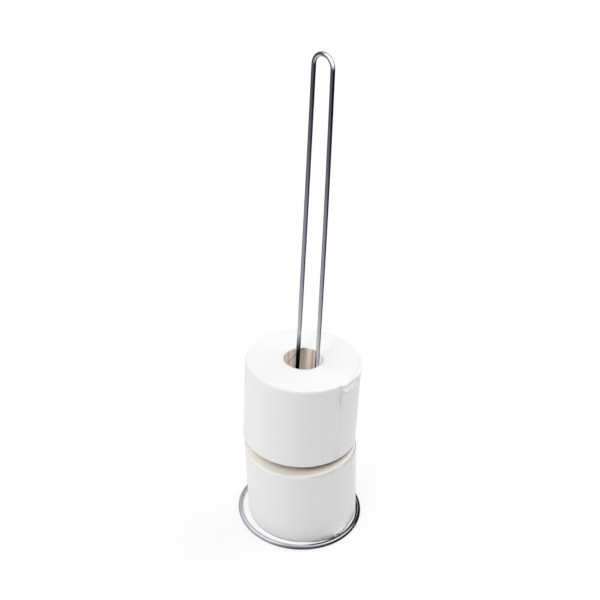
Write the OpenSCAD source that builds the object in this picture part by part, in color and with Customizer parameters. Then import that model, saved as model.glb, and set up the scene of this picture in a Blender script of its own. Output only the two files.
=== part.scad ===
// Free-standing wire holder for spare toilet rolls, with two rolls on its loop.
// Origin: the middle of the base ring, on the floor. +Z is up.
// The tall loop and the cross bar lie in the XZ plane, so +Y is square to the loop.

/* [Base] */
// Gap all round between a roll that stands in the middle and the inner side of the ring
ring_gap = 3.25; // [2.5:0.25:30]
// Wire diameter of the base ring and of the cross bar
ring_wire_d = 5.5; // [4:0.5:7]

/* [Upright loop] */
// Height of the top of the loop above the floor
loop_h = 550; // [400:10:700]
// Wire diameter of the loop
loop_wire_d = 4.5; // [3:0.5:5]
// Distance from the middle of the loop to each leg, where the leg meets the cross bar
leg_half_low = 15.5; // [12:0.5:16]
// Radius of the bend at the top of the loop, to the middle of its wire
bend_r = 12.6; // [8:0.2:15]

/* [Rolls] */
// Height of a standing roll, which is the width of its paper
roll_h = 100; // [90:1:120]
// Outer diameter of a roll
roll_d = 127; // [100:1:128]
// Radius of the soft edges of a roll
edge_r = 2; // [0.5:0.5:4]
// Inner diameter of the cardboard core
core_inner_d = 41.8; // [40:0.2:46]
// Wall of the cardboard core
core_wall = 0.7; // [0.5:0.1:1.5]
// Thickness of the last turn of paper
sheet_t = 0.3; // [0.2:0.1:0.6]
// Air between the core, the wound paper and its last turn
turn_gap = 0.1; // [0.05:0.05:0.3]
// Slot between the two ends of the last turn, in degrees round the roll
tail_slot_deg = 2; // [1:0.5:5]

/* [Places of the rolls] */
// How far the foot of the lower roll sits from the loop, towards +Y
lower_off_y = 4.5; // [0:0.5:6]
// How far the upper roll sits from the loop, towards -Y
upper_off_y = 3.4; // [0:0.2:5]
// Direction of the loose paper edge of the upper roll, in degrees from +X
upper_tail_deg = -7; // [-180:1:180]
// Direction of the loose paper edge of the lower roll, in degrees from +X
lower_tail_deg = 19; // [-180:1:180]

/* [Torn edge] */
// Angle round the roll over which the last turn of the upper roll is torn at the top
torn_span_deg = 48; // [20:1:80]
// Depth of the tear at its middle
torn_depth = 3.5; // [1:0.5:8]

/* [Welds] */
// Throat of the weld beads, measured out from the wire
weld_throat = 0.9; // [0.5:0.1:1.4]
// Length of the weld beads along the wire
weld_len = 2.4; // [1.5:0.1:3]
// Height of the butt weld above the wire of the ring
butt_rise = 0.2; // [0.1:0.05:0.4]
// Length of the butt weld round the ring, in degrees
butt_span_deg = 3; // [2:0.5:6]
// Direction of the butt weld, in degrees from +X
butt_deg = 214; // [200:1:340]

/* [Fits] */
// Gap between a roll and what it rests on, and between its rim and the floor
rest_gap = 0.3; // [0.1:0.1:1]
// Smallest gap between a core and a leg of the loop
leg_gap = 0.4; // [0.2:0.1:1]

/* [Hidden] */
$fn = 96;
// Segments round the thin weld beads, whose faces lie close to the wires
fine_fn = 192;

chrome_colour = [0.66, 0.66, 0.71];
weld_colour = [0.55, 0.55, 0.6];
card_colour = [0.72, 0.64, 0.57];
paper_colour = [0.95, 0.95, 0.94];
sheet_colour = [0.98, 0.98, 0.97];

// Length by which a cutting body runs past the face that it cuts
cut_over = 1;

// The radii of a roll
roll_r = roll_d / 2;
core_r = core_inner_d / 2;
core_outer_r = core_r + core_wall;
paper_in_r = core_outer_r + turn_gap;
paper_r = roll_r - sheet_t - turn_gap;

// The base
ring_wire_r = ring_wire_d / 2;
ring_inner_r = roll_r + ring_gap;
// Radius of the base ring, to the middle of its wire
ring_r = ring_inner_r + ring_wire_r;
// The bar reaches a little into the curve of the ring, which it is coped to
bar_half = ring_inner_r + 0.3 * ring_wire_r;

// The loop: each leg runs from the axis of the bar, tangent to the bend
loop_wire_r = loop_wire_d / 2;
bend_z = loop_h - loop_wire_r - bend_r;
bend_rise = bend_z - ring_wire_r;
foot_reach = sqrt(leg_half_low * leg_half_low + bend_rise * bend_rise);
leg_lean = atan(leg_half_low / bend_rise) - asin(bend_r / foot_reach);
leg_len = sqrt(foot_reach * foot_reach - bend_r * bend_r);
// The wire swells a little where it is bent, so the ends of the legs lie inside the bend
bend_swell = 0.02;
leg_overrun = 0.2;

// Distance from the middle of the loop to a leg at height z
function leg_half(z) = leg_half_low - (z - ring_wire_r) * tan(leg_lean);

// The lower roll rocks on the bar until its rim is as near the floor as the bar is to it
rim_reach = paper_r - edge_r;
lower_tilt = asin(ring_wire_d / (rim_reach - lower_off_y));
lower_z = ring_wire_r + (ring_wire_r + rest_gap + lower_off_y * sin(lower_tilt)) / cos(lower_tilt);

// The upper roll stands level on the raised rim of the lower roll
lower_top_z = lower_z + (roll_h - edge_r) * cos(lower_tilt) + rim_reach * sin(lower_tilt) + edge_r;
upper_z = lower_top_z + rest_gap;
// It has slid along the loop's plane until its core is leg_gap from a leg
core_reach = core_r - loop_wire_r - leg_gap;
upper_off_x = sqrt(core_reach * core_reach - upper_off_y * upper_off_y) - leg_half(upper_z);

// The tear is one slanting cut, whose ends are torn_span_deg apart
torn_edge_x = roll_r * cos(torn_span_deg / 2);
torn_slope = atan(torn_depth / (roll_r - torn_edge_x));

module ring_wire(wire_r) {
    rotate_extrude()
        translate([ring_r, 0])
            circle(r = wire_r);
}

module bar_wire() {
    translate([-bar_half, 0, ring_wire_r])
        rotate([0, 90, 0])
            cylinder(r = ring_wire_r, h = 2 * bar_half);
}

module leg(side, wire_r) {
    translate([side * leg_half_low, 0, ring_wire_r])
        rotate([0, -side * leg_lean, 0])
            cylinder(r = wire_r, h = leg_len + leg_overrun);
}

module top_bend() {
    translate([0, 0, bend_z])
        rotate([90, 0, 0])
            rotate([0, 0, leg_lean])
                rotate_extrude(angle = 180 - 2 * leg_lean)
                    translate([bend_r, 0])
                        circle(r = loop_wire_r + bend_swell);
}

// Everything above the floor, to trim a weld that would reach below the wires
module above_floor(height) {
    translate([-2 * ring_r, -2 * ring_r, 0])
        cube([4 * ring_r, 4 * ring_r, height]);
}

module base_ring() {
    color(chrome_colour)
        translate([0, 0, ring_wire_r])
            ring_wire(ring_wire_r);
}

module ring_weld() {
    color(weld_colour)
        intersection() {
            translate([0, 0, ring_wire_r])
                rotate([0, 0, butt_deg - butt_span_deg / 2])
                    rotate_extrude(angle = butt_span_deg)
                        translate([ring_r, 0])
                            difference() {
                                circle(r = ring_wire_r + butt_rise);
                                circle(r = ring_wire_r);
                            }
            above_floor(2 * ring_wire_d);
        }
}

module cross_bar() {
    color(chrome_colour)
        difference() {
            bar_wire();
            translate([0, 0, ring_wire_r])
                ring_wire(ring_wire_r);
        }
}

// A bead that rises from the bar to the inner side of the ring, one at each end of the bar
module bar_welds() {
    $fn = fine_fn;
    color(weld_colour)
        for (side = [-1, 1])
            intersection() {
                difference() {
                    translate([side * (ring_inner_r - weld_len), 0, ring_wire_r])
                        rotate([0, side * 90, 0])
                            cylinder(
                                r1 = ring_wire_r + 0.2 * weld_throat,
                                r2 = ring_wire_r + weld_throat,
                                h = weld_len + 0.8 * ring_wire_r
                            );
                    bar_wire();
                    translate([0, 0, ring_wire_r])
                        ring_wire(ring_wire_r);
                }
                above_floor(2 * ring_wire_d);
            }
}

module upright_loop() {
    color(chrome_colour)
        difference() {
            union() {
                leg(-1, loop_wire_r);
                leg(1, loop_wire_r);
                top_bend();
            }
            bar_wire();
        }
}

// A bead round the foot of each leg, over the top of the bar
module leg_welds() {
    color(weld_colour)
        for (side = [-1, 1])
            difference() {
                translate([side * leg_half(ring_wire_d), 0, ring_wire_d - weld_len / 2])
                    cylinder(
                        r1 = loop_wire_r + weld_throat,
                        r2 = loop_wire_r + 0.2 * weld_throat,
                        h = weld_len
                    );
                bar_wire();
                leg(side, loop_wire_r);
            }
}

// Outline of the wound paper, from the core out, with soft outer edges
module paper_profile() {
    translate([paper_in_r, 0])
        square([paper_r - edge_r - paper_in_r, roll_h]);
    translate([paper_in_r, edge_r])
        square([paper_r - paper_in_r, roll_h - 2 * edge_r]);
    for (z = [edge_r, roll_h - edge_r])
        translate([paper_r - edge_r, z])
            circle(r = edge_r);
}

module core_tube() {
    difference() {
        cylinder(r = core_outer_r, h = roll_h);
        translate([0, 0, -cut_over])
            cylinder(r = core_r, h = roll_h + 2 * cut_over);
    }
}

module wound_paper() {
    rotate_extrude()
        paper_profile();
}

// The last turn of paper, which starts and ends at the loose edge
module last_turn() {
    rotate_extrude(angle = 360 - tail_slot_deg)
        translate([roll_r - sheet_t, edge_r])
            square([sheet_t, roll_h - 2 * edge_r]);
}

// Everything above a slanting plane, which takes off a torn strip beside the loose edge
module tear() {
    rotate([0, 0, torn_span_deg / 2])
        translate([torn_edge_x, 0, roll_h - edge_r])
            rotate([0, torn_slope, 0])
                translate([-cut_over, -roll_r, 0])
                    cube([roll_r, roll_d, roll_r]);
}

module place_lower() {
    translate([0, lower_off_y, lower_z])
        rotate([lower_tilt, 0, 0])
            children();
}

module place_upper() {
    translate([-upper_off_x, -upper_off_y, upper_z])
        children();
}

module lower_core() {
    color(card_colour)
        place_lower()
            core_tube();
}

module lower_paper() {
    color(paper_colour)
        place_lower()
            wound_paper();
}

module lower_outer_sheet() {
    color(sheet_colour)
        place_lower()
            rotate([0, 0, lower_tail_deg])
                last_turn();
}

module upper_core() {
    color(card_colour)
        place_upper()
            core_tube();
}

module upper_paper() {
    color(paper_colour)
        place_upper()
            wound_paper();
}

module upper_outer_sheet() {
    color(sheet_colour)
        place_upper()
            rotate([0, 0, upper_tail_deg])
                difference() {
                    last_turn();
                    tear();
                }
}

base_ring();
ring_weld();
cross_bar();
bar_welds();
upright_loop();
leg_welds();
lower_core();
lower_paper();
lower_outer_sheet();
upper_core();
upper_paper();
upper_outer_sheet();
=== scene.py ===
import math

import bpy
import numpy as np
from mathutils import Matrix, Vector


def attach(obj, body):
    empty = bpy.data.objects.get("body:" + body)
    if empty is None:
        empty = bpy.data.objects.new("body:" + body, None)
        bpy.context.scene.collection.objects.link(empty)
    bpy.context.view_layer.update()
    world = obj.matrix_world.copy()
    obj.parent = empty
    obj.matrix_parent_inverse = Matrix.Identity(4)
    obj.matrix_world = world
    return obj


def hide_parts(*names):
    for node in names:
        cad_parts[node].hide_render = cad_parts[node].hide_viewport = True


# The looks of a free-standing holder of chromed wire with two toilet rolls on its tall loop.
# Sizes are in millimetres and become metres when a mesh is made. An azimuth is in degrees from
# +X, or from the camera's side, positive to the right of the picture, where a comment says so.

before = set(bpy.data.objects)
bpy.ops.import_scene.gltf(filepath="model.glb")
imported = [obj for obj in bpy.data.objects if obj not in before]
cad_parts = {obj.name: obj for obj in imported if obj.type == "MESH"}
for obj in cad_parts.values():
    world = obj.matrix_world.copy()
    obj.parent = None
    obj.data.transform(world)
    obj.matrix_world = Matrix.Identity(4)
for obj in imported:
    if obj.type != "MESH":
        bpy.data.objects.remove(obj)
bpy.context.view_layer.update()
MM = 0.001

# The rolls
ROLL_R = 63.5
ROLL_H = 100.0
EDGE_R = 2.0            # the soft edge between a roll's side and its ends
CORE_R = 20.9           # inside the cardboard tube
CORE_WALL = 0.7
TURN_GAP = 0.1
SHEET_T = 0.3
PLY_T = 0.16            # a torn ply of the sheet
BODY_R = ROLL_R - SHEET_T - TURN_GAP
BORE_R = CORE_R + CORE_WALL + TURN_GAP
SPIRAL_DEG = 38.5
SPIRAL_RISE = 2 * math.pi * CORE_R * math.tan(math.radians(SPIRAL_DEG))
QUILT_PITCH = 9.0       # the pressed pattern of the paper: its pitch up the roll
QUILT_COUNT = 44        # and how often it repeats round the roll

# Where the rolls stand, and where the tail of the last turn and the joint of the core lie
LOWER_TILT = 5.576
LOWER_FOOT = Vector((0, 4.5, 6.254))
UPPER_FOOT = Vector((-3.026, -3.4, 112.027))
LOWER_LEAN = Matrix.Rotation(math.radians(LOWER_TILT), 4, "X")
LOWER_PLACE = Matrix.Translation(LOWER_FOOT * MM) @ LOWER_LEAN
UPPER_PLACE = Matrix.Translation(UPPER_FOOT * MM)
LOWER_TAIL_DEG = 19.0
UPPER_TAIL_DEG = -7.0
LOWER_SEAM_DEG = 40.0
UPPER_SEAM_DEG = 131.0

# The wires
RING_R = 69.5
RING_WIRE_R = 2.75
RING_INNER_R = RING_R - RING_WIRE_R
BAR_HALF = RING_INNER_R + 0.3 * RING_WIRE_R
LOOP_WIRE_R = 2.25
LOOP_H = 550.0
LEG_HALF_LOW = 15.5     # from the middle to a leg's foot
LEG_FOOT_Z = 1.86 * RING_WIRE_R
BEND_R = 12.1
ARCH_SHIFT = -0.6       # hand bending leaves the arch a little to one side of the feet
BOW_RIGHT = 1.2         # and the legs bowed between two heights, the right one more
BOW_LEFT = 0.4
BOW_LOW = 205.0
BOW_HIGH = 533.0
BUTT_DEG = 214.0        # where the ring's wire is closed
BUTT_SPAN_DEG = 3.4
LEG_BEAD_R = 0.72
BAR_BEAD_R = 0.6
BAR_BEAD_LOW = 0.67     # no lower, so that the bead stays above the floor

# The direction from the stand to the camera, in degrees from +X
CAMERA_DEG = -47.94


# ---------------------------------------------------------------- numbers

def smooth(low, high, value):
    """0 below low, 1 above high, and a smooth step between them."""
    t = np.clip((np.asarray(value, float) - low) / (high - low), 0, 1)
    return t * t * (3 - 2 * t)


def bump(value, middle, width):
    """A smooth hill of height 1 round middle."""
    return np.exp(-(((np.asarray(value, float) - middle) / width) ** 2))


def lattice(ix, iy, iz, seed):
    """A repeatable number from 0 to 1 for each whole-number place."""
    h = ix * 374761393 + iy * 668265263 + iz * 2147483647 + seed * 1274126177
    h = (h ^ (h >> 13)) & 0xFFFFFFFF
    h = (h * 1103515245 + 12345) & 0xFFFFFFFF
    h = (h ^ (h >> 16)) & 0xFFFFFFFF
    h = (h * 69069 + 1) & 0xFFFFFFFF
    return ((h >> 8) & 0xFFFF) / 65535.0


def noise3(x, y, z, seed=0):
    """Smooth noise from -1 to 1 over arrays of places, one cell a unit."""
    place = np.broadcast_arrays(*(np.asarray(value, float) for value in (x, y, z)))
    cells = [np.floor(value).astype(np.int64) for value in place]
    shares = [smooth(0, 1, value - cell) for value, cell in zip(place, cells)]
    total = 0.0
    for corner in np.ndindex(2, 2, 2):
        weight = 1.0
        for share, step in zip(shares, corner):
            weight = weight * (share if step else 1 - share)
        total = total + weight * lattice(*(cell + step for cell, step in zip(cells, corner)), seed)
    return 2 * total - 1


def polar(r, angle, z):
    """Points at a distance from the Z axis, an angle in radians and a height."""
    r, angle, z = np.broadcast_arrays(r, angle, z)
    return np.stack([r * np.cos(angle), r * np.sin(angle), z], -1)


def ridges(x, y, z, seed=0):
    """Noise with sharp crests, from 0 to 1, for creased paper."""
    return 1 - np.abs(noise3(x, y, z, seed))


# ---------------------------------------------------------------- meshes

def finish_mesh(name, points, faces, materials, face_slots=None, place=None):
    """A smooth object from points in mm. place is the matrix of a piece that stands elsewhere."""
    mesh = bpy.data.meshes.new(name)
    mesh.from_pydata((np.asarray(points) * MM).tolist(), [], faces)
    for material in materials:
        mesh.materials.append(material)
    if face_slots is not None:
        mesh.polygons.foreach_set("material_index", np.asarray(face_slots, np.int32))
    mesh.polygons.foreach_set("use_smooth", np.ones(len(mesh.polygons), bool))
    mesh.validate()
    mesh.update()
    piece = bpy.data.objects.new(name, mesh)
    bpy.context.scene.collection.objects.link(piece)
    if place is not None:
        piece.matrix_world = place
    return piece


def grid_faces(rows, columns, wrap_rows, wrap_columns):
    """Quads over a grid of points that is stored row by row."""
    faces = []
    for i in range(rows if wrap_rows else rows - 1):
        row = i * columns
        upper = (i + 1) % rows * columns
        for j in range(columns if wrap_columns else columns - 1):
            right = (j + 1) % columns
            faces.append((row + j, row + right, upper + right, upper + j))
    return faces


def closed_sheet(outer, inner):
    """Points and faces of a thin closed solid between two grids, each a list of columns."""
    outer = np.transpose(np.array(outer), (1, 0, 2))
    inner = np.transpose(np.array(inner), (1, 0, 2))
    rows, columns = outer.shape[:2]
    loop = np.concatenate([outer, inner[::-1]], axis=0)
    faces = grid_faces(2 * rows, columns, True, False)
    for j, flip in ((0, False), (columns - 1, True)):
        for i in range(rows - 1):
            corners = (i, i + 1, 2 * rows - 2 - i, 2 * rows - 1 - i)
            quad = tuple(row * columns + j for row in corners)
            faces.append(quad[::-1] if flip else quad)
    return loop.reshape(-1, 3), faces


def tube(path, radius, around=48, closed=False):
    """Points and faces of a round wire along a path. Radius is a number or one for each point."""
    count = len(path)
    radius = np.broadcast_to(np.asarray(radius, float), (count,))
    if closed:
        along = np.roll(path, -1, 0) - np.roll(path, 1, 0)
    else:
        along = np.gradient(path, axis=0)
    along /= np.linalg.norm(along, axis=1)[:, None]
    side = np.cross(along[0], (0.0, 1.0, 0.0))
    if np.linalg.norm(side) < 0.1:
        side = np.cross(along[0], (0.0, 0.0, 1.0))
    turn = np.linspace(0, 2 * math.pi, around, endpoint=False)
    points = []
    for i in range(count):
        side = side - along[i] * (side @ along[i])
        side /= np.linalg.norm(side)
        third = np.cross(along[i], side)
        ring = np.cos(turn)[:, None] * side + np.sin(turn)[:, None] * third
        points.append(path[i] + radius[i] * ring)
    faces = grid_faces(count, around, closed, True)
    if not closed:
        faces.append(tuple(range(around))[::-1])
        faces.append(tuple((count - 1) * around + k for k in range(around)))
    return np.concatenate(points), faces


def join(parts):
    """One list of points and faces from several."""
    points, faces, start = [], [], 0
    for part_points, part_faces in parts:
        points.append(part_points)
        faces += [tuple(start + v for v in face) for face in part_faces]
        start += len(part_points)
    return np.concatenate(points), faces


# ---------------------------------------------------------------- materials

class Nodes:
    """Short ways to add shader nodes to one material or world."""

    def __init__(self, owner):
        owner.use_nodes = True
        self.tree = owner.node_tree

    def add(self, kind, **settings):
        node = self.tree.nodes.new(kind)
        for key, value in settings.items():
            setattr(node, key, value)
        return node

    def link(self, source, socket):
        self.tree.links.new(source, socket)

    def feed(self, socket, value):
        """Sets a socket to a number or a colour, or links another node's output to it."""
        if isinstance(value, (int, float)):
            socket.default_value = value
        elif isinstance(value, tuple):
            socket.default_value = (*value, 1)
        else:
            self.link(value, socket)

    def fill(self, node, **values):
        """Feeds sockets of a node by name, with _ for a space."""
        for name, value in values.items():
            self.feed(node.inputs[name.replace("_", " ")], value)
        return node

    def math(self, operation, *values):
        node = self.add("ShaderNodeMath", operation=operation)
        for socket, value in zip(node.inputs, values):
            self.feed(socket, value)
        return node.outputs[0]

    def spread(self, value, low, high):
        """Moves a value from 0..1 to low..high."""
        return self.math("MULTIPLY_ADD", value, high - low, low)

    def noise(self, scale, detail=2.0, roughness=0.5, place=None, stretch=(1, 1, 1)):
        mapping = self.add("ShaderNodeMapping")
        mapping.inputs["Scale"].default_value = stretch
        self.fill(mapping, Vector=self.place if place is None else place)
        node = self.add("ShaderNodeTexNoise")
        self.fill(node, Scale=scale, Detail=detail, Roughness=roughness, Vector=mapping.outputs[0])
        return node.outputs["Fac"]

    def ramp(self, value, *stops):
        """Colours by a value. A stop is a position with a colour or a grey."""
        node = self.add("ShaderNodeValToRGB")
        elements = node.color_ramp.elements
        while len(elements) < len(stops):
            elements.new(0.5)
        for element, (position, tone) in zip(elements, stops):
            element.position = position
            element.color = (*tone, 1) if isinstance(tone, tuple) else (tone, tone, tone, 1)
        return self.fill(node, Fac=value).outputs["Color"]

    def mix(self, share, first, second, blend="MIX"):
        node = self.add("ShaderNodeMix", data_type="RGBA", blend_type=blend)
        for index, value in ((0, share), (6, first), (7, second)):
            self.feed(node.inputs[index], value)
        return node.outputs[2]

    def multiply(self, colour, *layers):
        for layer in layers:
            colour = self.mix(1.0, colour, layer, "MULTIPLY")
        return colour

    def open_share(self, distance):
        """How open the surface lies, from 0 in a narrow gap to 1."""
        node = self.add("ShaderNodeAmbientOcclusion", samples=12)
        return self.fill(node, Distance=distance).outputs["AO"]

    def seen(self):
        """1 for what the camera, the chrome and anything clear see, 0 for the soft light."""
        path = self.add("ShaderNodeLightPath")
        either = self.math("MAXIMUM", path.outputs["Is Camera Ray"], path.outputs["Is Glossy Ray"])
        return self.math("MAXIMUM", either, path.outputs["Is Transmission Ray"])


class MaterialNodes(Nodes):
    """The nodes of a new material with the usual surface shader."""

    def __init__(self, name):
        self.material = bpy.data.materials.new(name)
        super().__init__(self.material)
        self.shader = self.tree.nodes["Principled BSDF"]
        self.output = self.tree.nodes["Material Output"]
        self.place = self.add("ShaderNodeTexCoord").outputs["Object"]

    def coordinates(self):
        """Sockets of X, Y and Z, in metres from the piece's origin."""
        return self.fill(self.add("ShaderNodeSeparateXYZ"), Vector=self.place).outputs

    def bump(self, height, distance, strength=1.0, below=None):
        node = self.add("ShaderNodeBump")
        self.fill(node, Height=height, Distance=distance, Strength=strength)
        if below is not None:
            self.link(below, node.inputs["Normal"])
        return node.outputs["Normal"]

    def surface(self, colour, roughness, normal, **others):
        self.fill(self.shader, Base_Color=colour, Roughness=roughness, Normal=normal, **others)
        return self.material


CHROME_COLOUR = (0.80, 0.793, 0.82)
SHEET_COLOURS = (0.912, 0.912, 0.907), (0.905, 0.904, 0.895)
# The wound paper under the last turn, seen where the sheet is torn back or has slid, is a darker copy
# of the sheet's paper: painted shade
SHADED_BODY_COLOURS = (0.87, 0.868, 0.86), (0.86, 0.856, 0.84)
# Painted shade: the two browns to which the ends of the rolls are darkened in the narrow gap between
# them
PAINTED_GAP_BROWNS = (0.25, 0.13, 0.08), (0.80, 0.67, 0.56)
# Painted light: the core is painted paler and greyer towards this side
PAINTED_LIGHT_DEG = 62.0     # the side of the core to which the light soaks through

# How far, in metres, a surface looks round for others, for the painted shade that darkens it in a
# narrow gap
UNDER_ROLL_GAP = 0.012
BETWEEN_ROLLS_GAP = 0.03
ON_FLOOR_GAP = 0.008


def chrome(name, low_rough, high_rough, streaks):
    """Bright plating over drawn wire: faint smears, fine drawing lines and a few dull specks."""
    n = MaterialNodes(name)
    smear = n.noise(55, 3, 0.6)
    specks = n.math("GREATER_THAN", n.noise(900, 1, 0.4), 0.74)
    lines = n.noise(700, 2, 0.5, stretch=streaks)
    smeared = tuple(0.9 * c for c in CHROME_COLOUR)
    colour = n.mix(n.ramp(smear, (0.35, 0), (0.75, 1)), CHROME_COLOUR, smeared)
    rough = n.math("MULTIPLY_ADD", specks, 0.12, n.spread(smear, low_rough, high_rough))
    return n.surface(colour, rough, n.bump(lines, 0.00001, 0.25), Metallic=1.0)


def weld_metal(name):
    """Plated weld beads: the same chrome, a little grainy and darker in random patches."""
    n = MaterialNodes(name)
    grain = n.noise(1400, 4, 0.6)
    patches = n.noise(260, 2, 0.5)
    colour = n.ramp(patches, (0.3, (0.52, 0.5, 0.52)), (0.65, (0.74, 0.73, 0.77)))
    return n.surface(colour, n.spread(grain, 0.18, 0.42), n.bump(grain, 0.00008, 0.5), Metallic=1.0)


def paper(name, colours, painted_gap_shade=False):
    """Soft tissue: matt fibres, faint clouds of thicker pulp and a fine crepe across the sheet."""
    n = MaterialNodes(name)
    clouds = n.noise(75, 3, 0.55)
    fibres = n.noise(1500, 3, 0.7)
    crepe = n.noise(420, 2, 0.5, stretch=(0.35, 0.35, 2.4))
    colour = n.mix(n.ramp(clouds, (0.35, 0), (0.7, 1)), *colours)
    colour = n.multiply(colour, n.ramp(fibres, (0.3, 0.965), (0.6, 1)))
    if painted_gap_shade:
        # Painted shade: where the paper lies in a narrow gap, as under the soft edge of the roll, its
        # colour is darkened
        gap = n.ramp(n.open_share(UNDER_ROLL_GAP), (0.12, (0.38, 0.37, 0.39)), (0.34, 1))
        colour = n.multiply(colour, gap)
    normal = n.bump(fibres, 0.00005, 0.35, below=n.bump(crepe, 0.00012, 0.35))
    return n.surface(
        colour, n.spread(fibres, 0.86, 1.0), normal,
        Specular_IOR_Level=0.2, Sheen_Weight=0.12, Sheen_Roughness=0.6,
    )


def wound_edge(name, colour, groove, painted_gap_browns=None):
    """The ends of a roll, where the edges of the turns lie side by side as fine uneven rings.

    The last argument holds the two browns of the painted shade that darkens this paper in the narrow
    gap between two rolls.
    """
    n = MaterialNodes(name)
    x, y, _ = n.coordinates()
    radius = n.math("SQRT", n.math("ADD", n.math("MULTIPLY", x, x), n.math("MULTIPLY", y, y)))
    drifted = n.math("MULTIPLY_ADD", n.noise(28, 2, 0.5), 0.0015, radius)
    coils = n.fill(n.add("ShaderNodeCombineXYZ"), X=drifted)
    turns = n.noise(1900, 2, 0.6, place=coils.outputs[0])
    bands = n.noise(260, 2, 0.5, place=coils.outputs[0])
    fibres = n.noise(1600, 3, 0.7)
    tone = n.math("MULTIPLY_ADD", bands, 0.5, n.math("MULTIPLY", turns, 0.5))
    rings = n.ramp(tone, (0.33, groove), (0.52, colour))
    if painted_gap_browns is not None:
        deep, brown = painted_gap_browns
        # Painted shade: in the narrow gap between the rolls the rings are darkened to brown
        share = n.open_share(BETWEEN_ROLLS_GAP)
        rings = n.multiply(rings, n.ramp(share, (0.17, deep), (0.215, brown), (0.30, 1)))
    normal = n.bump(fibres, 0.00006, 0.3, below=n.bump(turns, 0.00015, 0.3))
    return n.surface(
        rings, n.spread(fibres, 0.88, 1.0), normal, Specular_IOR_Level=0.15, Sheen_Weight=0.1
    )


def cardboard(name, seam_deg):
    """Pale pinkish board with flecks of pulp, bands along the tube and a dark spiral joint."""
    n = MaterialNodes(name)
    flecks = n.noise(1300, 3, 0.65)
    clouds = n.noise(120, 3, 0.5)
    fibres = n.noise(600, 2, 0.6, stretch=(1, 1, 0.12))
    bands = n.noise(105, 2, 0.55, stretch=(1, 1, 0.04))
    x, y, z = n.coordinates()
    # The joint of the strip climbs round the tube. phase runs from 0 to 1 between its two edges
    turn = n.math("MULTIPLY_ADD", n.math("ARCTAN2", y, x), 1 / (2 * math.pi), 2 - seam_deg / 360)
    climb = n.math("MULTIPLY_ADD", z, 1 / (SPIRAL_RISE * MM), -ROLL_H / SPIRAL_RISE)
    phase = n.math("FRACT", n.math("ADD", n.math("ADD", turn, climb), 1.0))
    nearest = n.math("MINIMUM", phase, n.math("SUBTRACT", 1.0, phase))
    wander = n.math("MULTIPLY_ADD", n.noise(260, 2, 0.6), 0.006, nearest)
    # Painted light: on the side where the light soaks through the roll the board is painted paler and
    # greyer
    towards = Vector((math.cos(math.radians(PAINTED_LIGHT_DEG)), math.sin(math.radians(PAINTED_LIGHT_DEG))))
    towards = towards / (CORE_R * MM)
    side = n.math("MULTIPLY_ADD", x, towards.x, n.math("MULTIPLY", y, towards.y))
    colour = n.multiply(
        n.ramp(clouds, (0.3, (0.83, 0.73, 0.665)), (0.7, (0.87, 0.79, 0.715))),
        n.ramp(flecks, (0.30, (0.86, 0.83, 0.81)), (0.44, 1)),
        n.ramp(bands, (0.40, (0.60, 0.58, 0.57)), (0.60, (1.08, 1.10, 1.13))),
        n.ramp(wander, (0.006, (0.34, 0.30, 0.26)), (0.013, 1)),
        n.ramp(side, (0.80, 1), (0.93, (1.10, 1.22, 1.34))),
    )
    normal = n.bump(flecks, 0.00008, 0.3, below=n.bump(fibres, 0.0001, 0.3))
    return n.surface(colour, n.spread(fibres, 0.7, 0.92), normal, Specular_IOR_Level=0.3)


RING_CHROME = chrome("ring_chrome_plate", 0.03, 0.07, (1, 1, 1))
LOOP_CHROME = chrome("loop_chrome_plate", 0.04, 0.10, (1, 1, 0.02))
BAR_CHROME = chrome("bar_chrome_plate", 0.06, 0.14, (0.02, 1, 1))
WELD_CHROME = weld_metal("weld_chrome_plate")
SHEET_PAPER = paper("sheet_paper", SHEET_COLOURS)
BODY_PAPER = paper("body_paper", SHADED_BODY_COLOURS)
# Copies of both papers whose colour is darkened with painted shade in narrow gaps
SHEET_PAPER_PAINTED_SHADE = paper("sheet_paper_painted_shade", SHEET_COLOURS, painted_gap_shade=True)
BODY_PAPER_PAINTED_SHADE = paper("body_paper_painted_shade", SHADED_BODY_COLOURS, painted_gap_shade=True)
END_PAPER = wound_edge("wound_end_paper", (0.892, 0.893, 0.890), (0.868, 0.868, 0.864))
# The bottoms of the rolls and the top of the lower one: their warm tint is painted light bounced in the
# gap between the rolls, and their browns are painted shade
BOUNCE_AND_SHADE_END_PAPER = wound_edge(
    "end_paper_painted_bounce_and_shade", (0.965, 0.945, 0.885), (0.94, 0.905, 0.82), PAINTED_GAP_BROWNS
)
UPPER_BOARD = cardboard("upper_core_cardboard", UPPER_SEAM_DEG)
LOWER_BOARD = cardboard("lower_core_cardboard", LOWER_SEAM_DEG)


# ---------------------------------------------------------------- wires and welds

def leg_angle():
    """The lean of a leg, from the reach of its foot to the middle of the bend."""
    rise = LOOP_H - LOOP_WIRE_R - BEND_R - RING_WIRE_R
    return math.atan(LEG_HALF_LOW / rise) - math.asin(BEND_R / math.hypot(LEG_HALF_LOW, rise))


def make_ring():
    path = polar(RING_R, np.linspace(0, 2 * math.pi, 480, endpoint=False), RING_WIRE_R)
    return finish_mesh("chrome_ring", *tube(path, RING_WIRE_R, 56, closed=True), [RING_CHROME])


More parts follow.
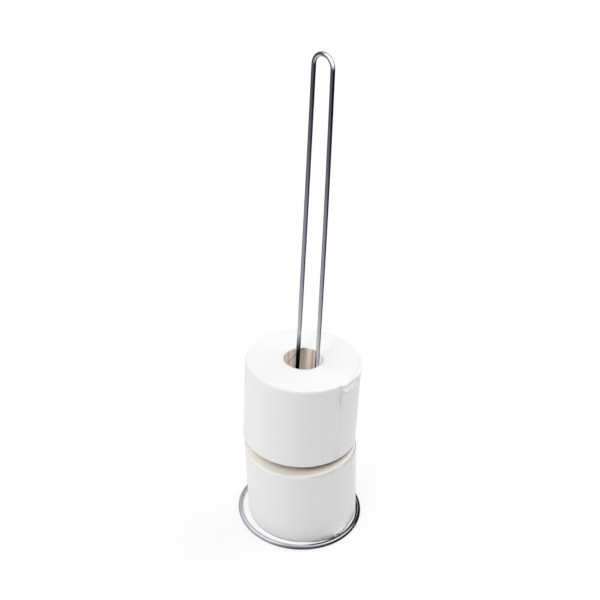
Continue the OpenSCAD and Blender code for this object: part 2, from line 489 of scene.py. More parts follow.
def make_loop():
    """One hairpin: up the right leg, round the bend and down the left leg."""
    lean = leg_angle()
    bend_z = LOOP_H - LOOP_WIRE_R - BEND_R
    foot_x = LEG_HALF_LOW - (LEG_FOOT_Z - RING_WIRE_R) * math.tan(lean)
    foot = np.array([foot_x, LEG_FOOT_Z])
    bend = np.linspace(lean, math.pi - lean, 72)
    arch = np.stack([BEND_R * np.cos(bend), bend_z + BEND_R * np.sin(bend)], -1)
    leg = foot + (arch[0] - foot) * np.linspace(0, 1, 60, endpoint=False)[:, None]
    x, z = np.concatenate([leg, arch, leg[::-1] * (-1, 1)]).T
    x = x + ARCH_SHIFT * z / LOOP_H
    climb = np.clip((z - BOW_LOW) / (BOW_HIGH - BOW_LOW), 0, 1)
    x = x + np.where(x > 0, BOW_RIGHT, BOW_LEFT) * np.sin(math.pi * climb) ** 0.8
    path = np.stack([x, np.zeros_like(x), z], -1)
    return finish_mesh("chrome_loop", *tube(path, LOOP_WIRE_R, 48), [LOOP_CHROME])


def make_bar():
    """The cross bar, with ends that are rounded a little."""
    x = np.linspace(-BAR_HALF, BAR_HALF, 60)
    path = np.stack([x, np.zeros_like(x), np.full_like(x, RING_WIRE_R)], -1)
    end = np.minimum(x - x[0], x[-1] - x)
    radius = RING_WIRE_R - 0.4 * (1 - smooth(0, 0.8, end))
    return finish_mesh("chrome_bar", *tube(path, radius, 48), [BAR_CHROME])


def bead(x, y, z, size, ripples, seed):
    """A weld bead along a closed path, with the scale-like ripples of the weld pool."""
    turn = np.linspace(0, 2 * math.pi, len(x), endpoint=False)
    wave = np.abs(np.sin(turn * ripples / 2))
    uneven = noise3(3 * np.cos(turn), 3 * np.sin(turn), 0.5, seed)
    radius = size * (0.86 + 0.16 * wave + 0.1 * uneven)
    return tube(np.stack([x, y, z], -1), radius, 20, closed=True)


BEAD_TURN = np.linspace(0, 2 * math.pi, 160, endpoint=False)


def make_leg_welds():
    """A bead round each foot of the loop, over the round of the bar."""
    parts = []
    for side in (-1, 1):
        x = side * LEG_HALF_LOW + LOOP_WIRE_R * np.cos(BEAD_TURN)
        y = LOOP_WIRE_R * np.sin(BEAD_TURN)
        z = RING_WIRE_R + np.sqrt(RING_WIRE_R**2 - y**2) - 0.1
        parts.append(bead(x, y, z, LEG_BEAD_R, 17, 3 + side))
    return finish_mesh("leg_weld_beads", *join(parts), [WELD_CHROME])


def make_bar_welds():
    """A bead round each end of the bar, where it meets the round of the ring."""
    parts = []
    for side in (-1, 1):
        y = (RING_WIRE_R - 0.15) * np.cos(BEAD_TURN)
        z = RING_WIRE_R + (RING_WIRE_R - 0.15) * np.sin(BEAD_TURN)
        from_middle = np.sqrt(np.maximum(RING_WIRE_R**2 - (z - RING_WIRE_R) ** 2, 0))
        x = side * (np.sqrt((RING_R - from_middle) ** 2 - y**2) - 0.2)
        parts.append(bead(x, y, np.maximum(z, BAR_BEAD_LOW), BAR_BEAD_R, 19, 11 + side))
    return finish_mesh("bar_weld_beads", *join(parts), [WELD_CHROME])


def make_butt_weld():
    """The ends of the ring's wire, forged together and ground, stand out as a low swelling."""
    t = np.linspace(-1, 1, 40)
    path = polar(RING_R, np.radians(BUTT_DEG + t * BUTT_SPAN_DEG / 2), RING_WIRE_R)
    swell = 0.17 * (1 - t**2) ** 0.7 + 0.03 * np.cos(9 * t) * (1 - t**2)
    points, faces = tube(path, RING_WIRE_R + swell - 0.01, 48)
    points[:, 2] = np.maximum(points[:, 2], 0.0)
    return finish_mesh("ring_butt_weld", points, faces, [WELD_CHROME])


# ---------------------------------------------------------------- rolls

def edge_profile(outer_r, edge_r, low_turn, high_turn, z_rows):
    """Places and outward directions over the side of a roll and a part of both soft edges."""
    low = np.linspace(-low_turn, 0, 7)[:-1]
    high = np.linspace(0, high_turn, 9)[1:]
    angle = np.concatenate([low, 0 * z_rows, high])
    z = np.concatenate([0 * low + edge_r, z_rows, 0 * high + ROLL_H - edge_r])
    normals = np.stack([np.cos(angle), np.sin(angle)], -1)
    return np.stack([0 * z + outer_r - edge_r, z], -1) + edge_r * normals, normals


def end_relief(r, angle, seed):
    """How far the edges of the turns stand above or below the flat end of a roll, at most 0."""
    c, s = np.cos(angle), np.sin(angle)
    drift = 0.7 * noise3(2.1 * c + 7, 2.1 * s, 0.3, seed)
    fine = noise3((r + drift) / 0.55, 1.6 * c, 1.6 * s, seed + 1)
    coarse = noise3((r + 2 * drift) / 2.6, 1.2 * c, 1.2 * s, seed + 2)
    broad = noise3(r * c / 24, r * s / 24, 0.2, seed + 3)
    return -0.16 + 0.05 * fine + 0.05 * coarse + 0.05 * broad


def make_roll_body(name, place, seed, side_paper, top_paper):
    """The wound paper: a ring with soft edges whose ends show the turns."""
    around = 288
    z_side = np.linspace(EDGE_R, ROLL_H - EDGE_R, 30)
    side, _ = edge_profile(BODY_R, EDGE_R, math.pi / 2, math.pi / 2, z_side)
    end_r = np.linspace(BODY_R - EDGE_R, BORE_R + 0.5, 74)[1:]
    top = [(r, ROLL_H) for r in end_r]
    bore = [(BORE_R, z) for z in (ROLL_H - 0.6, *np.linspace(ROLL_H - 4, 4, 12), 0.6)]
    bore = [(BORE_R + 0.15, ROLL_H - 0.1), *bore, (BORE_R + 0.15, 0.1)]
    bottom = [(r, 0.0) for r in end_r[::-1]]
    profile = np.array([*side, *top, *bore, *bottom])
    rows = len(profile)
    turn, r = np.meshgrid(np.linspace(0, 2 * math.pi, around, endpoint=False), profile[:, 0])
    z = np.broadcast_to(profile[:, 1:], r.shape)
    # The ends take the relief of the turns, which fades out down the bore and the side
    on_top = smooth(ROLL_H - 1.2, ROLL_H, z)
    on_bottom = smooth(1.2, 0, z)
    z = z + on_top * end_relief(r, turn, seed)
    z = z - on_bottom * end_relief(r, turn, seed + 20)
    # A little softness in the outline, never outwards of the last turn
    dent = 0.08 * (noise3(2.3 * np.cos(turn), 2.3 * np.sin(turn), z / 30, seed + 30) - 1)
    r = r + dent * smooth(BODY_R - 6, BODY_R, r)
    # Each row of faces has its paper: the side, the top, or at the bottom the warm paper, whose tint is
    # painted bounce light and whose browns are painted gap shade
    slots = np.zeros(rows, int)
    slots[len(side) - 5 : len(side) + len(top) + 2] = 1
    slots[-len(bottom) - 2 :] = 2
    slots[:4] = 2
    return finish_mesh(
        name, polar(r, turn, z).reshape(-1, 3),
        [face[::-1] for face in grid_faces(rows, around, True, True)],
        [side_paper, top_paper, BOUNCE_AND_SHADE_END_PAPER], np.repeat(slots, around), place,
    )


def make_last_turn(
    name, place, tail_deg, seed, sheet, top_edge, crumple, lift, slip, low_turn, flare=0.0
):
    """The last turn of paper, one thin closed sheet. Its degrees count from its tail.

    top_edge gives how far the rim is torn back at an angle, in mm.
    crumple gives how far the sheet stands off the roll at an angle and a height.
    lift is the height, the middle and the reach of the place where the loose tail stands off.
    slip gives how far the sheet has slid down at an azimuth, and how far its low edge stands out.
    low_turn is the angle in radians by which the low edge turns in, and flare its lip in mm.
    """
    degrees = [np.arange(0, 60, 0.5), np.arange(60, 330, 1.5), np.arange(330, 363.8, 0.9)]
    share = np.concatenate([np.linspace(0, 0.8, 52), np.linspace(0.8, 1, 36)[1:]])
    z_rows = np.linspace(EDGE_R, ROLL_H - EDGE_R, 120)
    line, normals = edge_profile(ROLL_R, EDGE_R + SHEET_T, low_turn, 1.15, z_rows)
    steps = np.concatenate([[0], np.cumsum(np.linalg.norm(np.diff(line, axis=0), axis=1))])
    outer, inner = [], []
    for degree in np.concatenate(degrees):
        s = (steps[-1] - top_edge(degree)) * share
        r, z, nr, nz = (np.interp(s, steps, values) for values in (*line.T, *normals.T))
        size = np.hypot(nr, nz)
        nr, nz = nr / size, nz / size
        # The tail edge runs a little askew, as a sheet does that was torn off by hand
        skew = 2.6 * smooth(92, 60, z) * math.exp(-degree / 20)
        angle = np.radians(tail_deg + degree + skew)
        # A sheet that has slid down is straight where it used to turn in over the rim
        down, out = slip(degree + tail_deg)
        r = r + (ROLL_R - r) * min(down / 1.5, 1.0)
        raised = lift[0] * math.exp(-degree / 1.8) * bump(z, lift[1], lift[2])
        stand = crumple(degree, z) + raised + out * smooth(16, 0, z) + flare * smooth(5.0, 0.5, z)
        wave = 0.10 * noise3(2.2 * np.cos(angle), 2.2 * np.sin(angle), z / 34, seed) - 0.10
        around = math.cos(QUILT_COUNT * math.radians(tail_deg + degree))
        quilt = -0.05 * smooth(0.35, 0.95, np.cos(2 * math.pi * z / QUILT_PITCH) * around)
        # The other end of the turn sinks into the wound paper below it
        sink = 0.34 * smooth(320, 359, degree)
        # The loose edge is pressed against the roll, apart from where it is lifted
        press = 0.30 * math.exp(-((degree / 16.0) ** 2)) * (1 - np.clip(2.5 * raised, 0, 1))
        d = stand + wave + quilt - sink - press
        thick = SHEET_T * (0.1 + 0.9 * smooth(0, 12, degree)) * (1 - 0.8 * smooth(340, 358, degree))
        outer.append(polar(r + nr * d, angle, z + nz * d - down))
        inner.append(polar(r + nr * (d - thick), angle, z + nz * (d - thick) - down))
    return finish_mesh(name, *closed_sheet(outer, inner), [sheet], place=place)


def torn_flap(name, place, start_deg, end_deg, profile, edge):
    """A creased strip of torn ply round a rim.

    profile gives (r, z) at an angle for shares of its width, and edge the share where it is torn.
    """
    outer, inner = [], []
    for degree in np.arange(start_deg, end_deg + 0.01, 0.35):
        r, z = profile(degree, np.linspace(0, 1, 34) * edge(degree))
        dr, dz = np.gradient(r), np.gradient(z)
        size = np.maximum(np.hypot(dr, dz), 1e-6)
        angle = math.radians(degree)
        outer.append(polar(r, angle, z))
        inner.append(polar(r - PLY_T * dz / size, angle, z + PLY_T * dr / size))
    # A torn ply's paper is darkened with painted shade in the narrow gaps of its creases
    return finish_mesh(name, *closed_sheet(outer, inner), [SHEET_PAPER_PAINTED_SHADE], place=place)


def make_core(name, place, seam_deg, board):
    """A cardboard tube wound from one strip, whose joint runs round it as a screw line."""
    around, rows = 180, 90
    angle = np.linspace(0, 2 * math.pi, around, endpoint=False)
    turn, height = np.meshgrid(angle, np.linspace(0, ROLL_H, rows))
    phase = (turn / (2 * math.pi) + (height - ROLL_H) / SPIRAL_RISE - seam_deg / 360.0) % 1.0
    across = phase * SPIRAL_RISE * math.cos(math.radians(SPIRAL_DEG))
    # One edge of the strip lies over the other: a small step with a groove beside it
    step = -0.16 * np.exp(-across / 5.0) + 0.30 * bump(across, 0.0, 0.55)
    step += 0.30 * bump(across, across.max() + 0.2, 0.55)
    rough = 0.05 * noise3(5 * np.cos(turn), 5 * np.sin(turn), height / 9, 5)
    edge = 0.12 * noise3(4 * np.cos(angle), 4 * np.sin(angle), 0.7, 9) - 0.15
    height[-1] += edge
    height[0] -= edge
    inner = polar(CORE_R + step + rough, turn, height)
    outer = polar(CORE_R + CORE_WALL, turn, height)
    loop = np.concatenate([outer, inner[::-1]], axis=0).reshape(-1, 3)
    return finish_mesh(name, loop, grid_faces(2 * rows, around, True, True), [board], place=place)


def upper_top_tear(degree):
    """How far the ply at the top of the upper roll is torn back, at degrees from its tail."""
    span = smooth(0, 4, degree) * (1 - smooth(38, 49, degree))
    jag = noise3(degree / 1.6, 3.1, 0.2, 41) + 0.6 * noise3(degree / 0.7, 1.1, 0.2, 42)
    return span * (9.6 + 0.6 * jag)


def whole_edge(degree):
    """The rim of the lower roll isn't torn."""
    return 0.0


def upper_crumple(degree, z):
    """Creases under the tear."""
    zone = smooth(0, 5, degree) * (1 - smooth(30, 46, degree)) * smooth(80, 91, z)
    crest = ridges(degree / 7.0, z / 5.0, 0.4, 51) ** 3
    return zone * (0.05 + 0.5 * crest)


def lower_crumple(degree, z):
    """Creases at the foot of the lower roll, where its sheet stands on the ring."""
    azimuth = (degree + LOWER_TAIL_DEG + 180) % 360 - 180
    zone = smooth(-50, -30, azimuth) * (1 - smooth(6, 22, azimuth)) * (1 - smooth(5, 16, z))
    crest = ridges(azimuth / 5.0, z / 4.0, 0.4, 71) ** 3
    return zone * 0.55 * crest


def upper_slip(azimuth):
    """The upper roll's sheet hangs a little lower than its body, most at its front right."""
    return 0.8 + 1.3 * bump(azimuth, -43, 15), 0.0


# How far the last turn of the lower roll has slid down on its raised side, and stands out
SLIP_AZIMUTHS = [-120, -95, -75, -45, -27, -12, -8, 0, 3, 8, 16, 29, 42, 80, 130]
SLIP_DOWN = [0.0, 0.2, 0.2, 0.7, 1.9, 3.2, 1.2, 1.0, 3.4, 4.5, 5.8, 7.0, 6.8, 3.0, 0.0]
SLIP_OUT = [0.0, 0.0, 0.0, 0.1, 1.2, 2.6, 3.0, 3.0, 2.2, 0.8, 0.0, 0.0, 0.0, 0.0, 0.0]


def lower_slip(azimuth):
    """How far the lower roll's sheet has slid down and stands out at an azimuth."""
    azimuth = (azimuth + 180) % 360 - 180
    down = np.interp(azimuth, SLIP_AZIMUTHS, SLIP_DOWN)
    out = np.interp(azimuth, SLIP_AZIMUTHS, SLIP_OUT)
    return down, out


# The torn ply at the rim of the upper roll, over its width: its line down the roll, and how much
# of its upper and its lower crease lies at each share
FLAP_SHARE = [0.0, 0.1, 0.2, 0.3, 0.42, 0.54, 0.66, 0.76, 0.86, 1.0]
FLAP_Z = [100.05, 100.15, 99.7, 98.4, 96.6, 94.6, 92.9, 91.7, 90.9, 89.9]
FLAP_R = [60.6, 62.3, 63.3, 63.6, 63.3, 63.3, 63.6, 63.8, 63.7, 63.2]
FLAP_FIRST = [0.0, 0.1, 0.7, 1.0, 0.35, 0.0, 0.0, 0.0, 0.0, 0.0]
FLAP_SECOND = [0.0, 0.0, 0.0, 0.0, 0.0, 0.1, 0.75, 1.0, 0.85, 0.0]
# Along the rim: how far both creases stand out, and how deep the ply hangs
FLAP_DEGREES = [-8, -5, -2, 3, 9, 14, 20, 26, 32, 41]
FIRST_OUT = [0.0, 0.5, 1.5, 0.4, 0.3, 0.9, 1.9, 2.3, 1.0, 0.0]
SECOND_OUT = [0.0, 0.8, 2.3, 1.6, 2.4, 1.4, 1.6, 0.9, 0.3, 0.0]
FLAP_DROP = [0.15, 0.85, 1.0, 1.08, 1.16, 1.06, 0.98, 0.85, 0.6, 0.15]


def upper_flap_profile(degree, share):
    """Out over the rim of the upper roll, then down its side in two uneven creases."""
    wander = noise3(degree / 5.0, 0.3, 0.6, 81)
    small = noise3(degree / 1.5, share * 5.0, 0.6, 82)
    jag = max(0.0, 1.0 + 0.75 * noise3(degree / 1.9, 0.7, 0.1, 83))
    first, second, drop = (
        np.interp(degree, FLAP_DEGREES, values) for values in (FIRST_OUT, SECOND_OUT, FLAP_DROP)
    )
    r = np.interp(share, FLAP_SHARE, FLAP_R)
    r = r + first * np.interp(share, FLAP_SHARE, FLAP_FIRST)
    r = r + second * jag * np.interp(share, FLAP_SHARE, FLAP_SECOND)
    rough = smooth(0.25, 0.5, share) * (1 - smooth(0.9, 1.0, share))
    z = np.interp(share, FLAP_SHARE, FLAP_Z) - FLAP_Z[0]
    return r + 0.3 * small * rough, FLAP_Z[0] + z * (drop + 0.05 * wander)


def upper_flap_edge(degree):
    """The ragged share at which the flap of the upper roll ends."""
    jag = noise3(degree / 1.3, 0.2, 0.4, 91) + 0.7 * noise3(degree / 0.6, 0.9, 0.4, 92)
    return 0.94 + 0.05 * jag


def lower_flap_profile(degree, share):
    """Scraps of torn ply under the rim of the lower roll, which lie on the weld and the ring."""
    small = noise3(degree / 2.0, share * 4.0, 0.6, 101)
    z = 2.5 + 1.3 * bump(share, 0.35, 0.3) - 0.6 * share + 0.35 * small * smooth(0.2, 0.6, share)
    return 63.6 + 5.0 * share, z


def lower_flap_edge(degree):
    """The same for the scraps of the lower roll, more ragged."""
    jag = noise3(degree / 1.5, 0.2, 0.4, 111) + 0.8 * noise3(degree / 0.6, 0.9, 0.4, 112)
    return np.clip(0.72 + 0.45 * jag, 0.2, 1.0)


def ride_for(piece, body, slot, *nodes):
    """Ties a piece to its body of the frame, and hides the solids that it stands for."""
    # The studio's dark cards, and not the white paper, are what the chrome mirrors; the cards near the
    # rolls carry a painted reflection of their light and shade
    if slot in ("wound_paper", "outer_sheet", "core_board"):
        piece.visible_glossy = False
    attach(piece, body)
    if nodes:
        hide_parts(*nodes)


def make_stand():
    """The welded wire stand: the ring with its bar, and the loop that stands on the bar."""
    for piece, slot, node in (
        (make_ring(), "ring_chrome", "base_ring"),
        (make_butt_weld(), "weld_chrome", "ring_weld"),
        (make_bar(), "bar_chrome", "cross_bar"),
        (make_bar_welds(), "weld_chrome", "bar_welds"),
        (make_loop(), "loop_chrome", "upright_loop"),
        (make_leg_welds(), "weld_chrome", "leg_welds"),
    ):
        ride_for(piece, "stand", slot, node)


def make_lower_roll():
    """The roll that lies askew on the bar. Its last turn has slid down and rests on the ring."""
    core = make_core("lower_roll_core", LOWER_PLACE, LOWER_SEAM_DEG, LOWER_BOARD)
    ride_for(core, "lower_roll", "core_board", "lower_core")
    body = make_roll_body("lower_roll_paper", LOWER_PLACE, 200, BODY_PAPER_PAINTED_SHADE, BOUNCE_AND_SHADE_END_PAPER)
    ride_for(body, "lower_roll", "wound_paper", "lower_paper")
    turn = make_last_turn(
        "lower_roll_last_turn", LOWER_PLACE, LOWER_TAIL_DEG, 210, SHEET_PAPER_PAINTED_SHADE,
        top_edge=whole_edge, crumple=lower_crumple, lift=(0.05, 84, 9), slip=lower_slip,
        low_turn=0.7,
    )
    ride_for(turn, "lower_roll", "outer_sheet", "lower_outer_sheet")
    scraps = torn_flap(
        "lower_roll_torn_ply", LOWER_PLACE, -13, 0, lower_flap_profile, lower_flap_edge
    )
    ride_for(scraps, "lower_roll", "outer_sheet")


def make_upper_roll():
    """The roll that stands upright on the other. Its last turn is torn at the top."""
    core = make_core("upper_roll_core", UPPER_PLACE, UPPER_SEAM_DEG, UPPER_BOARD)
    ride_for(core, "upper_roll", "core_board", "upper_core")
    body = make_roll_body("upper_roll_paper", UPPER_PLACE, 300, BODY_PAPER, END_PAPER)
    ride_for(body, "upper_roll", "wound_paper", "upper_paper")
    turn = make_last_turn(
        "upper_roll_last_turn", UPPER_PLACE, UPPER_TAIL_DEG, 310, SHEET_PAPER,
        top_edge=upper_top_tear, crumple=upper_crumple, lift=(0.42, 83, 7), slip=upper_slip,
        low_turn=0.05, flare=0.5,
    )
    ride_for(turn, "upper_roll", "outer_sheet", "upper_outer_sheet")
    flap = torn_flap(
        "upper_roll_torn_ply", UPPER_PLACE, -7.5, 41, upper_flap_profile, upper_flap_edge
    )
    ride_for(flap, "upper_roll", "outer_sheet")


# ---------------------------------------------------------------- floor, lights, camera

FLOOR_SIZE = 9000.0
FLOOR_GLOW = 0.775          # the white that the camera and the chrome see
FLOOR_BOUNCE = 0.58         # and what the floor throws up on the rolls
WORLD_STRENGTH = 0.34
WALL_R = 2400.0

# Suns by name: azimuth from the camera's side, elevation, strength, and width in degrees
SUNS = {
    "key_lamp": (-82, 47, 1.15, 60),
    "fill_lamp": (121, 45, 1.58, 60),
    "front_lamp": (-26, 42, 0.60, 14),
}
CORE_LAMP_PLACE = Vector((3.0, -10.0, 193.0)) * MM
CORE_LAMP_R = 0.008

# The cards that the chrome mirrors. They are fine in height where their greys change fast
FLOOR_CARD_Z = 0.4
INNER_CARD_Z = 0.35
INNER_CARD_R = (66.1, 68.3)
ARCH_CARD_R = 110.0
ARCH_CARD_Z = LOOP_H - 10
ARCH_RISE = [-12, -6, 0, 5, 10, 15, 20, 25, 30, 37, 45, 52, 60, 68, 75, 82, 88]
ROOM_RISE = [0, 2, 5, 8, 12, 20, 30, 40, 44, 48, 54, 60, 66, 72, 78, 84, 88]
# The flag by the left leg: its heights, and the greys of its painted shade
LEG_FLAG_Z = [20, 100, 120, 140, 156, 172, 208, 214, 220, 226, 232, 240]
LEG_FLAG_GREY = [0.35, 0.35, 0.25, 0.15, 0.0765, 0.003, 0.003, 0.01, 0.08, 0.26, 0.46, 0.56]


def light_material(name, strength):
    """A white surface that gives off light and has no other look."""
    n = MaterialNodes(name)
    n.tree.nodes.remove(n.shader)
    glow = n.fill(n.add("ShaderNodeEmission"), Color=(1, 1, 1), Strength=strength)
    n.fill(n.output, Surface=glow.outputs[0])
    return n, glow


def make_floor():
    """A plain white floor. A part of its white is its own, so that the shadow on it stays light."""
    n, glow = light_material("white_floor", FLOOR_GLOW)
    # Painted shade: the floor's white is darkened in the narrow gap between the roll and the ring
    share = n.open_share(ON_FLOOR_GAP)
    glow_painted_shade = n.ramp(share, (0.12, 0.03), (0.36, 1))
    n.fill(glow, Color=glow_painted_shade, Strength=n.spread(n.seen(), FLOOR_BOUNCE, FLOOR_GLOW))
    diffuse_painted_shade = n.ramp(share, (0.12, 0.02), (0.36, 0.22))
    paint = n.fill(n.add("ShaderNodeBsdfDiffuse"), Color=diffuse_painted_shade)
    both = n.add("ShaderNodeAddShader")
    n.link(paint.outputs[0], both.inputs[0])
    n.link(glow.outputs[0], both.inputs[1])
    n.fill(n.output, Surface=both.outputs[0])
    corners = FLOOR_SIZE * np.array([(-1, -1, 0), (1, -1, 0), (1, 1, 0), (-1, 1, 0)])
    finish_mesh("studio_floor", corners, [(0, 1, 2, 3)], [n.material])


def card_material():
    """A card glows in the greys that are stored at its points."""
    n, glow = light_material("studio_card", 1.0)
    shade = n.add("ShaderNodeVertexColor", layer_name="shade")
    n.fill(glow, Color=shade.outputs["Color"])
    return n.material


def card(name, points, columns, shade, material, wrap=True):
    """A studio card: the chrome mirrors it, and the camera and the matt surfaces don't see it.

    shade is a grey or a colour for each point.
    """
    faces = grid_faces(len(points) // columns, columns, False, wrap)
    piece = finish_mesh(name, points, faces, [material])
    rgba = np.ones((len(points), 4), np.float32)
    rgba[:, :3] = shade if shade.ndim == 2 else shade[:, None]
    colours = piece.data.color_attributes.new("shade", "FLOAT_COLOR", "POINT")
    colours.data.foreach_set("color", rgba.ravel())
    for kind in ("camera", "diffuse", "transmission", "shadow", "volume_scatter"):
        setattr(piece, "visible_" + kind, False)


def relative(azimuth):
    """Azimuth from the camera's side, positive towards the right of the picture."""
    return (azimuth - CAMERA_DEG + 180) % 360 - 180


# What the chrome mirrors of the floor: the distances from the stand, the greys there in front, at
# the right and at the left, and the azimuth from the camera's side where the dark right begins
# Close to the ring the dark greys are a painted shadow of the rolls and the ring on the floor
FLOOR_STEPS = [71, 78, 90, 130, 200, 300, 365, 390, 425, 470, 537, 610, 685, 770, 860, 950, 1055, 1170,
               1300, 1440, 1600, 2400]
FLOOR_FRONT = [0.05, 0.10, 0.16, 0.30, 0.62, 0.66, 0.60, 0.54, 0.50, 0.45, 0.36, 0.35, 0.30, 0.27, 0.25,
               0.20, 0.18, 0.145, 0.13, 0.11, 0.11, 0.10]
FLOOR_RIGHT = [0.005, 0.01, 0.02, 0.05, 0.30, 0.38, 0.25, 0.20, 0.15, 0.12, 0.08, 0.055, 0.045, 0.035,
               0.03, 0.026, 0.023, 0.02, 0.016, 0.012, 0.008, 0.006]
FLOOR_LEFT = [0.42, 0.46, 0.52, 0.60, 0.75, 0.72, 0.70, 0.68, 0.62, 0.55, 0.48, 0.45, 0.42, 0.36, 0.30,
              0.23, 0.19, 0.155, 0.14, 0.12, 0.11, 0.11]
DARK_START = [5, 7, 10, 25, 40, 42, 38, 36, 34, 31, 28, 26, 24, 22, 20, 15, 9, 4, 0, -6, -13, -20]
LAVENDER = np.array([1.01, 0.985, 1.21])

# What it mirrors of the room: a row of greys in percent for each azimuth from the camera's side
ROOM_ELEVATIONS = [0, 8, 20, 34, 48, 60, 75, 90]
ROOM_AZIMUTHS = [-180, -150, -134, -118, -98, -80, -40, -15, 10, 35, 55, 80, 115, 140, 165]
ROOM_SHADES = [
    [ 46,  46,  48,  48,  58,  60,  50,  56],
    [ 46,  46,  50,  60,  84,  66,  56,  56],
    [ 43,  46,  50,  74,  94,  70,  60,  56],
    [ 40,  43,  53,  80,  94,  76,  64,  56],
    [ 42,  48,  66,  98, 120,  98,  66,  56],
    [ 44,  54,  84, 114, 124, 100,  70,  56],
    [ 36,  44,  64, 100, 116,  92,  62,  56],
    [ 16,  22,  28,  38,  48,  56,  64,  60],
    [ 10,  14,  18,  24,  34,  46,  60,  62],
    [  5,   8,  14,  28,  70,  95,  62,  56],
    [  4,   6,  12,  30, 100, 130,  62,  50],
    [  3,   5,  10,  34, 130, 130,  60,  48],
    [  1,   3,  10,  48, 110,  80,  40,  44],
    [  1,   2,   4,  22,  50,  40,  30,  44],
    [  1,   2,   2,   3,   8,  20,  30,  50],
]

# What the arch at the top of the loop mirrors of the room, in percent too
ARCH_ELEVATIONS = [-12, 0, 10, 20, 30, 45, 60, 75, 90]
ARCH_AZIMUTHS = [-180, -147, -128, -108, -95, -86, -75, -65, -55, -36, 0, 50, 90, 115, 144, 166]
ARCH_SHADES = [
    [ 10,  10,  15,  30,  38,  50,  60,  75,  95],
    [ 12,  12,  13,  20,  32,  48,  62,  85,  95],
    [  2,   2,   3,   5,   8,  30,  55,  90,  95],
    [  1,   1,   3,   6,   8,  20,  65, 100,  95],
    [  2,   3,   6,   8,   7,  20,  75, 120,  95],
    [ 10,  14,   6,   5,   7,  60, 115, 130, 100],
    [ 12,  15,  25,  55,  95, 110, 130, 130, 100],
    [ 15,  30,  65, 100, 115, 130, 130, 130, 105],
    [ 20,  55, 115, 130, 130, 130, 130, 130, 105],
    [ 25,  80, 130, 130, 130, 130, 130, 130, 110],
    [ 25,  80, 120, 130, 130, 130, 130, 130, 110],
    [ 12,  60, 110, 130, 130, 130, 130, 130, 110],
    [  5,  20,  70, 110, 120, 130, 130, 125, 110],
    [  2,   5,  20,  55,  80, 100, 110, 115, 110],
    [  2,   2,   4,  10,  30,  60,  90, 105, 105],
    [  4,   4,   8,  20,  32,  60,  95, 105, 100],
]


def floor_shade(distance, azimuth):
    """The colour of the floor card: a painted shadow close to the ring, then darker with the distance
    and towards the right.
    """
    front, dark, light, start = (
        np.interp(distance, FLOOR_STEPS, values)
        for values in (FLOOR_FRONT, FLOOR_RIGHT, FLOOR_LEFT, DARK_START)
    )
    side = relative(azimuth)
    right = smooth(0, 36, side - start) * (1 - smooth(168, 178, side))
    left = smooth(0, 38, -side - np.interp(distance, [73, 130, 300], [0, 15, 35]))
    value = front * (1 - left) + light * left
    value = value * (1 - 0.95 * smooth(96, 108, -side) * smooth(420, 520, distance))
    value = value * (1 - right) + dark * right
    tint_share = np.interp(distance, [73, 130, 300, 400, 650], [0.8, 0.4, 0.1, 0.1, 1])
    return value[:, None] * (1 + (LAVENDER - 1) * tint_share[:, None])


def dome(name, middle, radius, rise, azimuths, elevations, shades, tint_share, material):
    """A ball-shaped card round middle. Its greys come from a table, bluish where they are dark."""
    turn = np.linspace(0, 360, 96, endpoint=False)
    elevation, azimuth = np.meshgrid(np.array(rise, float), turn, indexing="ij")
    elevation, azimuth = elevation.ravel(), azimuth.ravel()
    rows = np.array([np.interp(elevation, elevations, row) for row in shades]) / 100
    # The table closes at its first row
    place = np.interp(relative(azimuth), [*azimuths, 180], np.arange(len(rows) + 1))
    first = np.clip(place.astype(int), 0, len(rows) - 1)
    share = place - first
    points = np.arange(len(azimuth))
    value = rows[first, points] * (1 - share) + rows[(first + 1) % len(rows), points] * share
    tint = 1 + tint_share * (LAVENDER - 1) * smooth(0.95, 0.4, value)[:, None]
    up = np.radians(elevation)
    points = polar(radius * np.cos(up), np.radians(azimuth), radius * np.sin(up)) + middle
    card(name, points, len(turn), value[:, None] * tint, material)


def ring_card(name, radii, z, azimuth, shade, material):
    """A flat card round the stand. shade gives its colour at arrays of distance and azimuth."""
    distance, turn = np.meshgrid(np.array(radii, float), azimuth, indexing="ij")
    distance, turn = distance.ravel(), turn.ravel()
    points = polar(distance, np.radians(turn), z)
    card(name, points, len(azimuth), shade(distance, turn), material)


def curved_flag(name, middle, radius, heights, span, columns, shade, material):
    """A small flag round an upright axis. shade gives its grey at arrays of heights and angles."""
    degrees = np.linspace(*span, columns)
    z, turn = np.meshgrid(np.array(heights, float), degrees, indexing="ij")
    z, turn = z.ravel(), turn.ravel()
    points = polar(radius, np.radians(turn), z) + (middle[0], middle[1], 0.0)
    card(name, points, columns, shade(z, turn), material, wrap=False)


def plain(grey):
    """The shade of a flag of one grey."""
    return lambda z, turn: np.full(len(z), grey)


def leg_flag_shade(z, turn):
    """Painted shade for the left leg to mirror: a dark card stands for the shaded core, and above the
    roll less and less of it.
    """
    level = np.interp(z, LEG_FLAG_Z, LEG_FLAG_GREY)
    return level * (1 - 0.55 * smooth(5, 50, relative(turn)) * smooth(240, 228, z))


def ring_shade(z, turn):
    """A painted reflection for the ring: the lit side of the lower roll at the left, and its shade at
    the right.
    """
    sides = [-130, -60, -20, 3, 9, 16, 24, 130]
    return np.interp(relative(turn), sides, [0.55, 0.66, 0.75, 0.75, 0.5, 0.08, 0.02, 0.01])


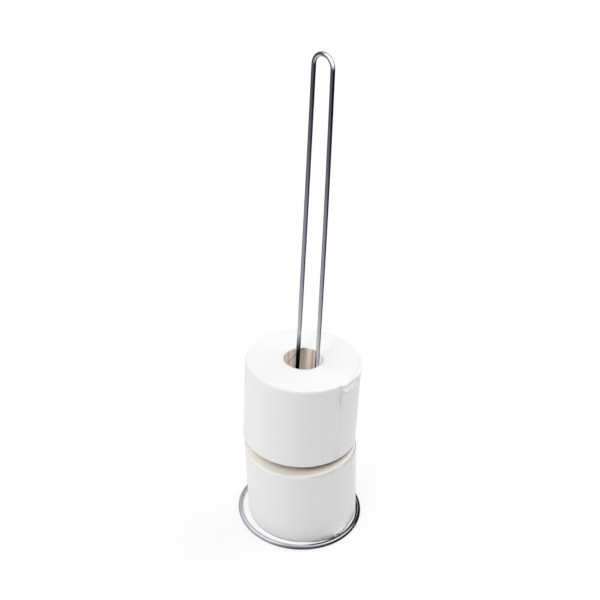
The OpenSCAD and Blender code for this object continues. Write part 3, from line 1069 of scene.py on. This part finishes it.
def make_cards():
    """Grey cards on the floor and round the set, as far as the chrome wires mirror them. Some carry
    painted reflections: the shade in the core, the lit and shaded sides of the lower roll, and its
    shadow near the ring.
    """
    material = card_material()
    turn = np.linspace(0, 360, 96, endpoint=False)
    ring_card("floor_card", FLOOR_STEPS, FLOOR_CARD_Z, turn, floor_shade, material)
    dome("room_card", (0, 0, 0), WALL_R, ROOM_RISE, ROOM_AZIMUTHS, ROOM_ELEVATIONS, ROOM_SHADES,
         0.3, material)
    dome("arch_card", (0, 0, ARCH_CARD_Z), ARCH_CARD_R, ARCH_RISE, ARCH_AZIMUTHS, ARCH_ELEVATIONS,
         ARCH_SHADES, 1.0, material)
    right_side = (CAMERA_DEG + 72, CAMERA_DEG + 150)
    near_side = (CAMERA_DEG - 130, CAMERA_DEG + 130)
    for name, middle, radius, heights, span, columns, shade in (
        # A dark card as painted shade: deep in the upper core the near wall is in the dark
        ("core_painted_shade_flag", UPPER_FOOT, 19.4, [130, 210.5], (-150, -20), 24, plain(0.003)),
        ("leg_flag", (-15, 0), 5.2, LEG_FLAG_Z, (-178, 95), 40, leg_flag_shade),
        # The ring's painted reflection of the lower roll's lit and shaded sides
        ("ring_painted_reflection_flag", (0, 0), 65.9, [0.6, 5, 14], near_side, 80, ring_shade),
        # At its right the ring stands before something black
        ("fence_flag", (0, 0), 76, [0.5, 34], right_side, 40, plain(0.012)),
    ):
        curved_flag(name, middle, radius, heights, span, columns, shade, material)
    # Inside the ring, a card with the same painted reflection
    turn = CAMERA_DEG + np.linspace(-180, 180, 97)[:-1]
    ring_card("inner_painted_reflection_card", INNER_CARD_R, INNER_CARD_Z, turn, ring_shade, material)


def make_world():
    """White for the camera, the chrome and anything clear, and an even soft light for the rest."""
    world = bpy.data.worlds.new("studio")
    bpy.context.scene.world = world
    n = Nodes(world)
    strength = n.spread(n.seen(), WORLD_STRENGTH, 1.0)
    n.fill(n.tree.nodes["Background"], Color=(1, 1, 1), Strength=strength)


def add_lamp(name, kind, strength):
    data = bpy.data.lights.new(name, kind)
    data.energy = strength
    lamp = bpy.data.objects.new(name, data)
    bpy.context.scene.collection.objects.link(lamp)
    lamp.visible_glossy = False
    return lamp


def make_suns():
    """Wide soft lamps, far off."""
    for name, (azimuth, elevation, strength, width) in SUNS.items():
        lamp = add_lamp(name, "SUN", strength)
        lamp.data.angle = math.radians(width)
        e = math.radians(elevation)
        towards = Vector(polar(math.cos(e), math.radians(azimuth + CAMERA_DEG), math.sin(e)))
        lamp.rotation_euler = towards.to_track_quat("Z", "Y").to_euler()
        lamp.location = towards * 2.0


def make_core_lamp():
    """The light that soaks through the paper of the upper roll into its core."""
    lamp = add_lamp("core_glow", "POINT", 0.006)
    lamp.data.shadow_soft_size = CORE_LAMP_R
    lamp.data.color = (1.0, 0.96, 0.92)
    lamp.location = CORE_LAMP_PLACE


CAMERA_PLACE = Vector((0.61907, -0.68633, 0.82293))
CAMERA_YAW = -0.7462
CAMERA_PITCH = 0.5271
CAMERA_ROLL = 0.0491
CAMERA_LENS = 61.09


def make_camera():
    """Yaw turns from +Y, pitch looks down, and roll turns the picture, all in radians."""
    data = bpy.data.cameras.new("camera")
    data.lens = CAMERA_LENS
    data.sensor_width = 36.0
    data.clip_start, data.clip_end = 0.01, 50.0
    camera = bpy.data.objects.new("camera", data)
    bpy.context.scene.collection.objects.link(camera)
    level = math.cos(CAMERA_PITCH)
    ahead = Vector(
        (math.sin(CAMERA_YAW) * level, math.cos(CAMERA_YAW) * level, -math.sin(CAMERA_PITCH))
    )
    right = ahead.cross(Vector((0, 0, 1))).normalized()
    up = right.cross(ahead)
    across = math.cos(CAMERA_ROLL) * right + math.sin(CAMERA_ROLL) * up
    upward = -math.sin(CAMERA_ROLL) * right + math.cos(CAMERA_ROLL) * up
    turn = Matrix((across, upward, -ahead)).transposed().to_4x4()
    camera.matrix_world = Matrix.Translation(CAMERA_PLACE) @ turn
    bpy.context.scene.camera = camera


make_camera()
make_stand()
make_lower_roll()
make_upper_roll()
make_floor()
make_cards()
make_world()
make_suns()
make_core_lamp()
bpy.context.scene.view_settings.view_transform = "Standard"
